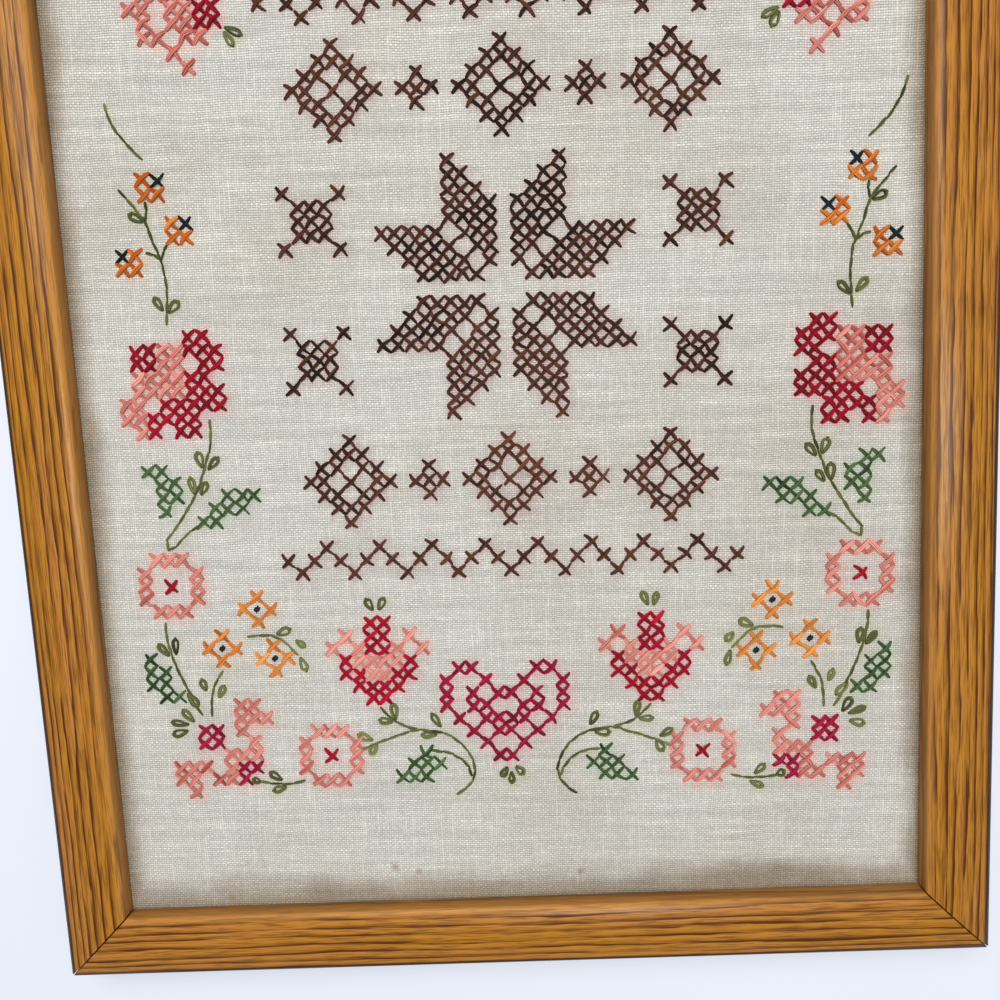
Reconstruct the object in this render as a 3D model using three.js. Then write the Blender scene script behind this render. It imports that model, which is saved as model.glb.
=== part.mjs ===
// A framed cross stitch sampler lying on its back: a mitred oak frame around a stretched linen.
// Millimetres. +X runs to the picture's right, +Y to its top and +Z out of its face.
// The origin is the middle of the frame's back, on the surface that it lies on.
import * as THREE from "three";

// Driving dimensions of a 9 by 12 inch picture frame in three quarter inch moulding
const SIGHT_WIDTH = 215.9;
const SIGHT_HEIGHT = 292.1;
const INSERT_WIDTH = 228.6;
const INSERT_HEIGHT = 304.8;
const RAIL_WIDTH = 19.05;
const RABBET_WIDTH = 7.0;
const MITRE_GAP = 0.3;

// Heights above the back of the frame
const LINEN_TOP = 10.5;
const LIP_UNDERSIDE = 10.8;
const INNER_ARRIS = 14.7;
const CREST = 15.9;
const OUTER_SHOULDER = 13.7;
const OUTER_ARRIS = 10.4;

// The crest's distance from the sight edge, and the shoulder's from the outer side
const CREST_INSET = 3.0;
const SHOULDER_INSET = 3.0;
// The face's fall at the shoulder, and how far its curve runs on straight at each end
const SHOULDER_SLOPE = 0.4;
const CREST_RUN = 0.45;
const SHOULDER_RUN = 0.3;
const CURVE_SEGMENTS = 14;

// The linen and the board behind it
const LINEN_THICKNESS = 1.0;
const BOARD_THICKNESS = 3.0;
const LAYER_GAP = 0.3;
const CELLS_ACROSS = 32;
const CELLS_UP = 44;
const CREASE_FADE = 12.0;

// Soft creases of the linen: middle, length and width in mm, and turn in degrees from +X.
// A height below zero is a trough.
const CREASES = [
  { x: 5, y: 38, length: 26, width: 13, turn: -19, height: 0.34 },
  { x: 42, y: 43, length: 30, width: 13, turn: 31, height: 0.26 },
  { x: 18, y: -21, length: 50, width: 13, turn: -3, height: 0.24 },
  { x: -20, y: 8, length: 32, width: 15, turn: -16, height: 0.26 },
  { x: 49, y: -62, length: 40, width: 13, turn: -1, height: 0.22 },
  { x: -1, y: -65, length: 75, width: 14, turn: -1, height: -0.22 },
  { x: -73, y: 55, length: 50, width: 14, turn: -44, height: 0.3 },
  { x: -60, y: 48, length: 38, width: 14, turn: -52, height: -0.18 },
  { x: -23, y: 45, length: 26, width: 13, turn: -29, height: 0.2 },
  { x: 24, y: 6, length: 56, width: 14, turn: -4, height: 0.18 },
  { x: 67, y: 63, length: 46, width: 15, turn: -23, height: 0.22 },
];

const OAK = new THREE.MeshStandardMaterial({ color: "#ad7c3c", roughness: 0.45, metalness: 0 });
const LINEN = new THREE.MeshStandardMaterial({ color: "#cdcac0", roughness: 0.95, metalness: 0 });
const BOARD = new THREE.MeshStandardMaterial({ color: "#8a6a4a", roughness: 0.85, metalness: 0 });

// The moulding's section: x runs from the outer side to the sight edge, y up from the back.
function mouldingSection() {
  const crestAt = RAIL_WIDTH - CREST_INSET;
  const faceRun = crestAt - SHOULDER_INSET;
  const ledge = RAIL_WIDTH - RABBET_WIDTH;
  const section = new THREE.Shape();
  section.moveTo(0, 0);
  section.lineTo(ledge, 0);
  section.lineTo(ledge, LIP_UNDERSIDE);
  section.lineTo(RAIL_WIDTH, LIP_UNDERSIDE);
  section.lineTo(RAIL_WIDTH, INNER_ARRIS);
  section.quadraticCurveTo(RAIL_WIDTH, CREST, crestAt, CREST);
  section.bezierCurveTo(
    crestAt - CREST_RUN * faceRun,
    CREST,
    SHOULDER_INSET + SHOULDER_RUN * faceRun,
    OUTER_SHOULDER + SHOULDER_RUN * faceRun * SHOULDER_SLOPE,
    SHOULDER_INSET,
    OUTER_SHOULDER,
  );
  section.quadraticCurveTo(0, OUTER_SHOULDER - SHOULDER_INSET * SHOULDER_SLOPE, 0, OUTER_ARRIS);
  section.closePath();
  return section;
}

// One rail along X, its outer side on y = 0 and both ends cut at 45 degrees.
function railGeometry(outerLength) {
  const geometry = new THREE.ExtrudeGeometry(mouldingSection(), {
    depth: outerLength,
    steps: 1,
    curveSegments: CURVE_SEGMENTS,
    bevelEnabled: false,
  });
  const endRelief = MITRE_GAP * Math.SQRT1_2;
  const position = geometry.getAttribute("position");
  for (let i = 0; i < position.count; i++) {
    const across = position.getX(i);
    const up = position.getY(i);
    const half = outerLength / 2 - across - endRelief;
    const along = position.getZ(i) > outerLength / 2 ? half : -half;
    position.setXYZ(i, along, across, up);
  }
  geometry.computeVertexNormals();
  return geometry;
}

// A rail moved out to its side of the frame. Turn 0 is the bottom, then right, top and left.
function makeRail(name, outerLength, reach, quarterTurns) {
  const rail = new THREE.Mesh(railGeometry(outerLength), OAK);
  const turn = (quarterTurns * Math.PI) / 2;
  rail.name = name;
  rail.rotation.z = turn;
  rail.position.set(Math.sin(turn) * reach, -Math.cos(turn) * reach, 0);
  return rail;
}

// 1 well inside the sight edge, falling smoothly to 0 at it.
function edgeFade(x, y) {
  const inside = Math.min(SIGHT_WIDTH / 2 - Math.abs(x), SIGHT_HEIGHT / 2 - Math.abs(y));
  return THREE.MathUtils.smoothstep(inside, 0, CREASE_FADE);
}

// Height of one crease at a place, a soft mound along its own line.
function moundHeight(crease, x, y) {
  const turn = THREE.MathUtils.degToRad(crease.turn);
  const along = (x - crease.x) * Math.cos(turn) + (y - crease.y) * Math.sin(turn);
  const across = (y - crease.y) * Math.cos(turn) - (x - crease.x) * Math.sin(turn);
  const reach = Math.hypot((2 * along) / crease.length, (2 * across) / crease.width);
  return crease.height * Math.exp(-reach * reach);
}

function linenHeight(x, y) {
  const creases = CREASES.reduce((sum, crease) => sum + moundHeight(crease, x, y), 0);
  return LINEN_TOP + creases * edgeFade(x, y);
}

// A box cut into cells whose upper and lower faces both follow the creases.
function linenGeometry() {
  const geometry = new THREE.BoxGeometry(
    INSERT_WIDTH,
    INSERT_HEIGHT,
    LINEN_THICKNESS,
    CELLS_ACROSS,
    CELLS_UP,
    1,
  );
  const position = geometry.getAttribute("position");
  for (let i = 0; i < position.count; i++) {
    const drop = position.getZ(i) > 0 ? 0 : LINEN_THICKNESS;
    position.setZ(i, linenHeight(position.getX(i), position.getY(i)) - drop);
  }
  geometry.computeVertexNormals();
  return geometry;
}

function makeLinen() {
  const linen = new THREE.Mesh(linenGeometry(), LINEN);
  linen.name = "linen";
  return linen;
}

// The board lies just under the deepest trough of the linen.
function makeBoard() {
  const deepest = Math.min(...CREASES.map((crease) => crease.height));
  const top = LINEN_TOP - LINEN_THICKNESS + deepest - LAYER_GAP;
  const board = new THREE.Mesh(new THREE.BoxGeometry(INSERT_WIDTH, INSERT_HEIGHT, BOARD_THICKNESS), BOARD);
  board.name = "backing_board";
  board.position.z = top - BOARD_THICKNESS / 2;
  return board;
}

const outerWidth = SIGHT_WIDTH + 2 * RAIL_WIDTH;
const outerHeight = SIGHT_HEIGHT + 2 * RAIL_WIDTH;

const sampler = new THREE.Group();
sampler.add(makeRail("rail_bottom", outerWidth, outerHeight / 2, 0));
sampler.add(makeRail("rail_right", outerHeight, outerWidth / 2, 1));
sampler.add(makeRail("rail_top", outerWidth, outerHeight / 2, 2));
sampler.add(makeRail("rail_left", outerHeight, outerWidth / 2, 3));
sampler.add(makeLinen());
sampler.add(makeBoard());

export default sampler;
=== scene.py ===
"""Looks of a framed cross stitch sampler: oak moulding, stretched linen and stranded floss.

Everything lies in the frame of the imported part, in metres: +X to the picture's right, +Y to its top
and +Z out of its face. Sizes are written in millimetres and multiplied by MM.
"""

import logging
import math
from dataclasses import dataclass
from enum import Enum
from functools import partial

import bpy
import numpy as np
from bpy.types import Material, Mesh, Node, NodeSocket, NodeTree, Object
from mathutils import Matrix, Vector


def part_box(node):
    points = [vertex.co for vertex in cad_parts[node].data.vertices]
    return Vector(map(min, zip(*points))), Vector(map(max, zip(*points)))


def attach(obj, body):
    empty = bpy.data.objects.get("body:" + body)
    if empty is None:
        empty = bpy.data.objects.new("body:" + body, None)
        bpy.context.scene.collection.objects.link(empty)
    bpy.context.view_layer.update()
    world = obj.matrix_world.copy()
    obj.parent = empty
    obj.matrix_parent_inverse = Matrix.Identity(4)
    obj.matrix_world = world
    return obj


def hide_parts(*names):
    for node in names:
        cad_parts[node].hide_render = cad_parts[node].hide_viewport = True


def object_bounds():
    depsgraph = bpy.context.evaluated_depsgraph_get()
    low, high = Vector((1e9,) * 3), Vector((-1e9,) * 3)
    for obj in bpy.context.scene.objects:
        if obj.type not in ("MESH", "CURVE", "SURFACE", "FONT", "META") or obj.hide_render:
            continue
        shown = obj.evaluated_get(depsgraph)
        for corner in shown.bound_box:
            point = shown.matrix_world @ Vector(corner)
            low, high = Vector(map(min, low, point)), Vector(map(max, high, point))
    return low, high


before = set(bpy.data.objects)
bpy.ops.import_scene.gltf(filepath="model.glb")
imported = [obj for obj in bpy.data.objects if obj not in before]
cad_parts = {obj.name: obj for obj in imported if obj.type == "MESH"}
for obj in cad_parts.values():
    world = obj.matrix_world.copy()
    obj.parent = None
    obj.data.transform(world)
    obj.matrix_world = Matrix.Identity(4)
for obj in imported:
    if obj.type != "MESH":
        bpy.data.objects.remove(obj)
CAD_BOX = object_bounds()

LOG = logging.getLogger("sampler")
MM = 0.001
ROOT = "root"
# Faces that meet at less than this are shaded as one surface
SMOOTH_ANGLE = math.radians(35)

# Half of the frame's outside and of its opening, and the linen's face over the frame's back, mm
OUTER_HALF = (127.0, 165.1)
SIGHT_HALF = (107.95, 146.05)
LINEN_TOP = 10.5

# The stamped design lies a little askew in its frame, turned clockwise and off the middle
DESIGN_TURN = math.radians(-1.41)
DESIGN_ORIGIN = (3.0, -15.75)
CROSS_PITCH = 3.46


def linear(hex_colour: str) -> tuple[float, float, float, float]:
    """Turn an sRGB hex colour into linear light.

    Args:
        hex_colour: six hex digits after a hash sign.

    Returns:
        Red, green, blue and an alpha of one.
    """
    channels = [int(hex_colour[i : i + 2], 16) / 255 for i in (1, 3, 5)]
    return (*(c / 12.92 if c <= 0.04045 else ((c + 0.055) / 1.055) ** 2.4 for c in channels), 1.0)


def add_node(tree: NodeTree, kind: str, inputs: dict | tuple = (), operation: str = "", **settings) -> Node:
    """Add one node with its settings, values and links.

    Args:
        tree: the node tree that gets it.
        kind: the node's type, without its ShaderNode prefix.
        inputs: values, nodes or output sockets, in the sockets' order or by their names or numbers.
        operation: what it works out, for a kind that can do several things.
        **settings: the node's own properties.

    Returns:
        The new node.
    """
    node = tree.nodes.new("ShaderNode" + kind)
    if operation:
        node.operation = operation
    for key, value in settings.items():
        setattr(node, key, value)
    for key, value in inputs.items() if isinstance(inputs, dict) else enumerate(inputs):
        if isinstance(value, Node):
            value = next(socket for socket in value.outputs if socket.enabled)
        if isinstance(value, NodeSocket):
            tree.links.new(value, node.inputs[key])
        else:
            node.inputs[key].default_value = value
    return node


def start_finish(name: str) -> tuple[Material, partial]:
    """Make an empty node material, and the call that adds a node to it."""
    material = bpy.data.materials.new(name)
    material.use_nodes = True
    material.node_tree.nodes.clear()
    return material, partial(add_node, material.node_tree)


def edge_distance(add: partial, place: NodeSocket, half: tuple[float, float], ease: float = 1.0) -> Node:
    """Add the nodes that measure how far in from the nearest side of a rectangle a place lies.

    Args:
        add: the call that adds a node to the tree.
        place: the place, from the frame's middle.
        half: half of the rectangle's width and height, mm.
        ease: how much of the distance counts at the upper and lower sides.

    Returns:
        The node that gives the distance, mm.
    """
    reach = add("VectorMath", (place,), "ABSOLUTE")
    inward = add("VectorMath", (reach, (-1 / MM, -ease / MM, 0.0), (half[0], ease * half[1], 0.0)),
                 "MULTIPLY_ADD")
    gaps = add("SeparateXYZ", (inward,)).outputs
    return add("Math", (gaps["X"], gaps["Y"]), "MINIMUM")


@dataclass(frozen=True)
class Oak:
    """Red oak, planed, stained golden and varnished: long dark lines of open pores under a satin film."""

    pale: str = "#bb7f38"
    golden: str = "#b87e22"
    pore: str = "#4e2603"
    # Painted shade: the nearly black outer side
    outer_shade: str = "#24130a"
    # Painted light that makes the sight edge and its inner wall paler
    sight_edge_light: str = "#d79f5e"
    varnish: str = "#ffe6c8"
    ring_mm: float = 2.7
    wander_mm: float = 7.5
    slant: float = 0.55
    # Painted shade on the outer side and painted light at the sight edge: where each changes, mm in from the
    # outer side, and from and to what
    outer_shade_range: tuple = (1.95, 2.6, 0.94, 0.0)
    sight_edge_light_range: tuple = (17.0, 18.9, 0.0, 0.34)
    pore_depth_mm: float = 0.12
    # Roughness between and in the pores, and how far apart in the log two cuts lie on each axis
    rough_range: tuple = (0.0, 1.0, 0.45, 0.65)
    slice_steps: tuple = (7, 1, 3)
    # The openness of the wood through one growth ring, as (place, level)
    ring: tuple = ((0.05, 1.0), (0.2, 0.95), (0.36, 0.5), (0.6, 0.16), (0.85, 0.0), (1.0, 0.08))
    # Noise for the rings' wander, the pores, the hairs and the tone: its scale along and across the
    # grain in each mm, its detail and its roughness
    noises: tuple = ((0.008, 0.085, 4.0, 0.62), (0.034, 0.95, 3.0, 0.65), (0.13, 3.4, 2.0, 0.5),
                     (0.013, 0.16, 2.0, 0.5))
    # What noise levels count as pore, hair or golden wood, and how strongly
    pore_range: tuple = (0.36, 0.54, 0.2, 1.0)
    hair_range: tuple = (0.46, 0.66, 0.0, 0.56)
    tone_range: tuple = (0.32, 0.68)

    def build(self, name: str, turn: float, slice_mm: float) -> Material:
        """Build the finish for one rail.

        Args:
            name: the material's name.
            turn: how far the rail's length is turned from +X, in radians.
            slice_mm: where in the log this rail was cut, so that no two rails match.

        Returns:
            The material.
        """
        material, add = start_finish(name)
        place = add("TexCoord").outputs["Object"]
        # Millimetres with x along the grain
        cut = tuple(slice_mm * step for step in self.slice_steps)
        grain = add("Mapping", {"Vector": place, "Location": cut, "Rotation": (0, 0, -turn),
                                "Scale": (1 / MM,) * 3})
        noises = []
        for along, across, detail, roughness in self.noises:
            drawn = add("VectorMath", (grain, (along, across, across)), "MULTIPLY")
            noises.append(add("TexNoise", {"Vector": drawn, "Scale": 1.0, "Detail": detail,
                                           "Roughness": roughness}))
        wander, pores, hairs, tone = noises
        # Growth rings cut at a slant through the rail
        parts = add("SeparateXYZ", (grain,))
        slant = add("Math", (parts.outputs["Z"], self.slant, parts.outputs["Y"]), "MULTIPLY_ADD")
        bent = add("Math", (wander, self.wander_mm, slant), "MULTIPLY_ADD")
        turns = add("Math", (bent, self.ring_mm), "DIVIDE")
        early = add("ValToRGB", (add("Math", (turns,), "FRACT"),))
        ramp = early.color_ramp.elements
        ramp.remove(ramp[1])
        for position, level in self.ring:
            ramp.new(position).color = (level, level, level, 1)
        # Pores: dashes 10 to 40 mm long and under a millimetre wide, in rows along the rings
        open_pore = add("MapRange", (pores, *self.pore_range), interpolation_type="SMOOTHSTEP")
        pore_mask = add("Math", (open_pore, early), "MULTIPLY")
        hair_mask = add("MapRange", (hairs, *self.hair_range), interpolation_type="SMOOTHSTEP")
        # The outer side is painted nearly black, as painted shade for the dark shadow line along the outer
        # edge, and the sight edge is painted paler, as painted light on the lip's inner wall
        nearest = edge_distance(add, place, OUTER_HALF)
        outer_shade_mask = add("MapRange", (nearest, *self.outer_shade_range))
        sight_edge_light_mask = add("MapRange", (nearest, *self.sight_edge_light_range))
        tone_mask = add("MapRange", (tone, *self.tone_range))
        surface = linear(self.pale)
        for mask, colour in ((tone_mask, self.golden), (hair_mask, self.pore), (pore_mask, self.pore),
                             (sight_edge_light_mask, self.sight_edge_light), (outer_shade_mask, self.outer_shade)):
            surface = add("Mix", {"Factor": mask, 6: surface, 7: linear(colour)}, data_type="RGBA")
        depth = add("Math", (pore_mask, hair_mask), "MAXIMUM")
        bump = add("Bump", {"Height": depth, "Strength": 0.5, "Distance": self.pore_depth_mm * MM},
                   invert=True)
        rough = add("MapRange", (depth, *self.rough_range))
        shader = add("BsdfPrincipled", {"Base Color": surface, "Roughness": rough, "Normal": bump,
                                        "Specular IOR Level": 0.12, "Coat Weight": 0.24,
                                        "Coat Roughness": 0.22, "Coat Tint": linear(self.varnish)})
        add("OutputMaterial", {"Surface": shader})
        return material


@dataclass(frozen=True)
class Linen:
    """Bleached plain-weave linen of uneven single yarns: a fine grid with pinholes and thick slubs."""

    thread: str = "#dedbd3"
    # Painted shade in the pinholes and where a thread dives under the next
    shade: str = "#5d584e"
    aged: str = "#d2c1ab"
    stain: str = "#8a6a3c"
    # Browning and painted shade beside the oak
    browning_and_shade: str = "#bdb0a0"
    # The browning and painted shade along the oak: how ragged it is, mm, and where it changes, mm in from
    # the sight edge
    browning_and_shade_mm: float = 7.2
    browning_and_shade_range: tuple = (-3.6, 2.88, 1.0, 0.0)
    # It is wider at the upper and lower sight edges, where distance counts for less
    browning_and_shade_ease: float = 0.62
    # Pitch of the yarns, mm, and their thickness
    warp: tuple = (0.617, 0.8)
    weft: tuple = (0.585, 1.14)
    # How boxy a thread's section is, and how far it climbs over the next one
    section: float = 0.8
    climb: float = 0.5
    # Steps through the slub noise from thread to thread, for each mm along it, and for its direction
    slub_steps: tuple = (7.31, 0.06, 11.0)
    band_scale: tuple = (0.022, 0.42, 0.0)
    stray_mm: float = 1.9
    weave_depth_mm: float = 0.17
    # What each reading is mapped to, as (from low, from high, to low, to high)
    slub_thickness: tuple = (0.3, 0.75, 0.85, 1.15)
    slub_tone: tuple = (0.52, 0.7, 0.96, 1.17)
    crossing_tone: tuple = (0.0, 1.0, 0.9, 1.07)
    weft_highlight_tone: tuple = (0.0, 1.0, 1.06, 0.9)
    band_tone: tuple = (0.3, 0.7, 0.9, 1.07)
    pinhole_shade: tuple = (0.12, 0.95)
    ageing: tuple = (0.45, 0.75, 0.0, 0.3)
    # Brown age spots: x and y in the picture frame and radius, mm
    spots: tuple = ((-34.0, -136.5, 1.7), (-27.5, -138.0, 1.2), (17.0, -139.5, 1.5), (-80.0, -144.0, 1.6))

    def build(self) -> Material:
        """Build the cloth, with the weave on the stamped design's own axes."""
        material, add = start_finish("bleached_plain_weave_linen")
        place = add("TexCoord").outputs["Object"]
        flat = add("Mapping", {"Vector": place, "Rotation": (0, 0, -DESIGN_TURN), "Scale": (1 / MM,) * 3})
        drift = add("TexNoise", {"Vector": flat, "Scale": 0.05, "Detail": 5.0, "Roughness": 0.6})
        wander = add("VectorMath", (drift.outputs["Color"], (self.stray_mm,) * 3, flat), "MULTIPLY_ADD")
        xyz = add("SeparateXYZ", (wander,)).outputs
        heights, slubs, indices = [], [], []
        apart, onward, aside = self.slub_steps
        for across, along, sign, (pitch, girth), other in (("X", "Y", 1.0, self.warp, self.weft[0]),
                                                           ("Y", "X", -1.0, self.weft, self.warp[0])):
            count = add("Math", (xyz[across], pitch), "DIVIDE")
            index = add("Math", (count,), "FLOOR")
            inside = add("Math", (count,), "FRACT")
            arc = add("Math", (inside, math.pi), "MULTIPLY")
            dome = add("Math", (arc,), "SINE")
            rounded = add("Math", (dome, self.section), "POWER")
            # Each thread is thick and thin along its length
            seed = add("Math", (index, apart), "MULTIPLY")
            run = add("Math", (xyz[along], onward), "MULTIPLY")
            yarn = add("CombineXYZ", (seed, run, aside * sign))
            slub = add("TexNoise", {"Vector": yarn, "Scale": 1.0, "Detail": 2.0})
            low, high, thin, full = self.slub_thickness
            thick = add("MapRange", (slub, low, high, thin * girth, full * girth))
            fat = add("Math", (thick, rounded), "MULTIPLY")
            # Over one thread and under the next
            half_turn = add("Math", (index, math.pi), "MULTIPLY")
            flip = add("Math", (half_turn,), "COSINE")
            wave = add("Math", (xyz[along], math.pi / other), "MULTIPLY")
            swing = add("Math", (wave,), "SINE")
            lift = add("Math", (flip, swing), "MULTIPLY")
            heights.append(add("Math", (lift, self.climb * sign, fat), "MULTIPLY_ADD"))
            slubs.append(slub)
            indices.append(index)
        weave = add("Math", tuple(heights), "MAXIMUM")
        warp_over = add("Math", tuple(heights), "GREATER_THAN")
        top_slub = add("Mix", {0: warp_over, 2: slubs[1], 3: slubs[0]})
        crossing = add("TexWhiteNoise", {"Vector": add("CombineXYZ", tuple(indices))})
        band = add("VectorMath", (flat, self.band_scale), "MULTIPLY")
        bands = add("TexNoise", {"Vector": band, "Scale": 1.0, "Detail": 3.0})
        # Slubs are whiter, crossings unlike, weft lit whiter than warp as a painted highlight, and whole
        # bands whiter or duller
        tone = 1.0
        for reading, span in ((top_slub, self.slub_tone), (crossing, self.crossing_tone),
                              (warp_over, self.weft_highlight_tone), (bands, self.band_tone)):
            tone = add("Math", (tone, add("MapRange", (reading, *span))), "MULTIPLY")
        # Painted shade: darker where the weave lies low, in the pinholes and where a thread dives under
        weave_shade_mask = add("MapRange", (weave, *self.pinhole_shade))
        cloth = add("Mix", {"Factor": weave_shade_mask, 6: linear(self.shade), 7: linear(self.thread)},
                    data_type="RGBA")
        surface = add("VectorMath", {0: cloth, "Scale": tone}, "SCALE")
        age = add("TexNoise", {"Vector": flat, "Scale": 0.017, "Detail": 4.0, "Roughness": 0.6})
        age_mask = add("MapRange", (age, *self.ageing))
        # Browned, and painted in shade, where the linen lies against the oak, wide in some places and narrow
        # in others
        nearest = edge_distance(add, place, SIGHT_HALF, self.browning_and_shade_ease)
        patchy = add("TexNoise", {"Vector": flat, "Scale": 0.045, "Detail": 3.0})
        ragged = add("Math", (patchy, -self.browning_and_shade_mm, nearest), "MULTIPLY_ADD")
        browned_and_shaded = add("MapRange", (ragged, *self.browning_and_shade_range), interpolation_type="SMOOTHSTEP")
        for mask, colour in ((age_mask, self.aged), (browned_and_shaded, self.browning_and_shade)):
            surface = add("Mix", {"Factor": mask, 6: surface, 7: linear(colour)}, data_type="RGBA",
                          blend_type="MULTIPLY")
        # Bled floss dye and painted shade round the stitches
        bleed_and_shade = add("Attribute", attribute_name="bleed_and_shade").outputs
        surface = add("Mix", {"Factor": bleed_and_shade["Alpha"], 6: surface, 7: bleed_and_shade["Color"]}, data_type="RGBA")
        rag = add("TexNoise", {"Vector": place, "Scale": 900.0, "Detail": 2.0})
        for x, y, radius in self.spots:
            away = add("VectorMath", (place, (x * MM, y * MM, LINEN_TOP * MM)), "DISTANCE")
            ragged = add("Math", (rag, radius * MM, away), "MULTIPLY_ADD")
            mark = add("MapRange", (ragged, 0.5 * radius * MM, 1.7 * radius * MM, 0.5, 0.0),
                       interpolation_type="SMOOTHSTEP")
            surface = add("Mix", {"Factor": mark, 6: surface, 7: linear(self.stain)}, data_type="RGBA")
        bump = add("Bump", {"Height": weave, "Strength": 1.0, "Distance": self.weave_depth_mm * MM})
        shader = add("BsdfPrincipled", {"Base Color": surface, "Roughness": 0.92, "Normal": bump,
                                        "Specular IOR Level": 0.2, "Sheen Weight": 0.12,
                                        "Sheen Roughness": 0.5})
        add("OutputMaterial", {"Surface": shader})
        return material


@dataclass(frozen=True)
class Skein:
    """One colour of floss: its tones, the tint that has run from it with painted shade round its stitches,
    and how a stitch of it lies.
    """

    dark: str
    light: str
    # The tint of bled dye, with painted shade round the stitches
    run: str
    strands: int = 2
    radius: float = 0.22
    spread: float = 0.2
    bleed_and_shade: float = 0.25
    fan: float = 0.35


class Floss(Enum):
    """The skeins of the sampler."""

    BROWN = Skein("#21100a", "#6a3a2b", "#a8645c", 2, 0.28, 0.26, 0.34)
    CRIMSON = Skein("#6e000e", "#b5082c", "#ee6a80", 3, 0.25, 0.38, 0.38)
    RASPBERRY = Skein("#7a0322", "#b21640", "#ee7a90", 2, 0.32, 0.29, 0.46)
    PINK = Skein("#b4524a", "#f0a294", "#ee9a8a", 4, 0.2, 0.44, 0.58, 0.6)
    ORANGE = Skein("#b9540c", "#ee9c48", "#f2b67c", 4, 0.2, 0.41, 0.4, 0.5)
    BLACK = Skein("#0e1015", "#262a32", "#8a8c90", 3, 0.22, 0.28, 0.14)
    OLIVE = Skein("#363b1b", "#767c48", "#b4b478", 2, 0.23, 0.19, 0.24)
    GREEN = Skein("#22361a", "#536f40", "#98b890", 2, 0.26, 0.24, 0.46)


@dataclass(frozen=True)
class StrandedCotton:
    """Mercerised stranded cotton: softly shining twisted filaments, each stitch a shade apart."""

    filament_mm: float = 0.9
    filaments: int = 4
    # Painted shade in the grooves between the twisted filaments
    ply_shade_tone: float = 0.1
    ply_depth_mm: float = 0.04
    # Painted shade: brightness from the flanks, pressed together and on the cloth, to the crown
    flank_shade_range: tuple = (-0.3, 0.9, 0.48, 1.12)

    def build(self, floss: Floss) -> Material:
        """Build the finish of one skein.

        Args:
            floss: the skein.

        Returns:
            The material, which reads the stitches' own UV map, shade and lot.
        """
        material, add = start_finish("stranded_cotton_" + floss.name.lower())
        uv = add("SeparateXYZ", (add("UVMap", uv_map="strand"),)).outputs
        around = add("Math", (uv["X"], self.filaments * math.tau), "MULTIPLY")
        spiral = add("Math", (uv["Y"], math.tau / self.filament_mm, around), "MULTIPLY_ADD")
        ply = add("Math", (spiral,), "SINE")
        lot = add("Attribute", attribute_name="lot").outputs["Fac"]
        shade = add("Attribute", attribute_name="shade").outputs["Fac"]
        dyed = add("Mix", {"Factor": lot, 6: linear(floss.value.dark), 7: linear(floss.value.light)},
                   data_type="RGBA")
        flank = add("Math", (uv["X"], math.tau), "MULTIPLY")
        upward = add("Math", (flank,), "SINE")
        flank_shade = add("MapRange", (upward, *self.flank_shade_range))
        # Painted shade in the twist's grooves and on the flanks below the crown
        ply_shaded = add("Math", (ply, self.ply_shade_tone, shade), "MULTIPLY_ADD")
        lit = add("Math", (ply_shaded, flank_shade), "MULTIPLY")
        colour = add("VectorMath", {0: dyed, "Scale": lit}, "SCALE")
        bump = add("Bump", {"Height": ply, "Strength": 0.5, "Distance": self.ply_depth_mm * MM})
        shader = add("BsdfPrincipled", {"Base Color": colour, "Roughness": 0.6, "Normal": bump,
                                        "Specular IOR Level": 0.15, "Sheen Weight": 0.05,
                                        "Sheen Roughness": 0.4})
        add("OutputMaterial", {"Surface": shader})
        return material


@dataclass(frozen=True)
class Greyboard:
    """Pressed pulp board: dull brown, with flecks and short fibres on a slightly pitted face."""

    pulp: str = "#8c6c4b"
    fleck: str = "#5d4630"
    fleck_range: tuple = (0.6, 1.0)
    pit_mm: float = 0.1

    def build(self) -> Material:
        """Build the board's finish."""
        material, add = start_finish("pressed_pulp_board")
        place = add("TexCoord").outputs["Object"]
        fibres = add("TexNoise", {"Vector": place, "Scale": 900.0, "Detail": 4.0})
        cloud = add("TexNoise", {"Vector": place, "Scale": 28.0, "Detail": 3.0})
        mixed = add("Math", (cloud, 0.5, fibres), "MULTIPLY_ADD")
        mask = add("MapRange", (mixed, *self.fleck_range))
        colour = add("Mix", {"Factor": mask, 6: linear(self.pulp), 7: linear(self.fleck)}, data_type="RGBA")
        bump = add("Bump", {"Height": fibres, "Strength": 0.3, "Distance": self.pit_mm * MM})
        shader = add("BsdfPrincipled", {"Base Color": colour, "Roughness": 0.88, "Normal": bump})
        add("OutputMaterial", {"Surface": shader})
        return material


@dataclass(frozen=True)
class WhiteTable:
    """A white painted table top, matt, with the faintest mottle."""

    paint: str = "#e6eaf5"
    dullest: float = 0.97

    def build(self) -> Material:
        """Build the floor's finish."""
        material, add = start_finish("white_table_paint")
        place = add("TexCoord").outputs["Object"]
        mottle = add("TexNoise", {"Vector": place, "Scale": 14.0, "Detail": 3.0})
        level = add("MapRange", {0: mottle, 3: self.dullest})
        colour = add("VectorMath", {0: linear(self.paint)[:3], "Scale": level}, "SCALE")
        shader = add("BsdfPrincipled", {"Base Color": colour, "Roughness": 0.6})
        add("OutputMaterial", {"Surface": shader})
        return material


def start_piece(name: str) -> Object:
    """Name the primitive that was just added and return it."""
    piece = bpy.context.active_object
    piece.name = name
    piece.data.name = name
    return piece


def apply_modifier(piece: Object, kind: str, **settings) -> None:
    """Add a modifier to a piece and apply it.

    Args:
        piece: the piece, which is the active object.
        kind: the modifier's type.
        **settings: the modifier's properties.
    """
    modifier = piece.modifiers.new(kind.lower(), kind)
    for key, value in settings.items():
        setattr(modifier, key, value)
    bpy.ops.object.modifier_apply(modifier=modifier.name)


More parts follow.
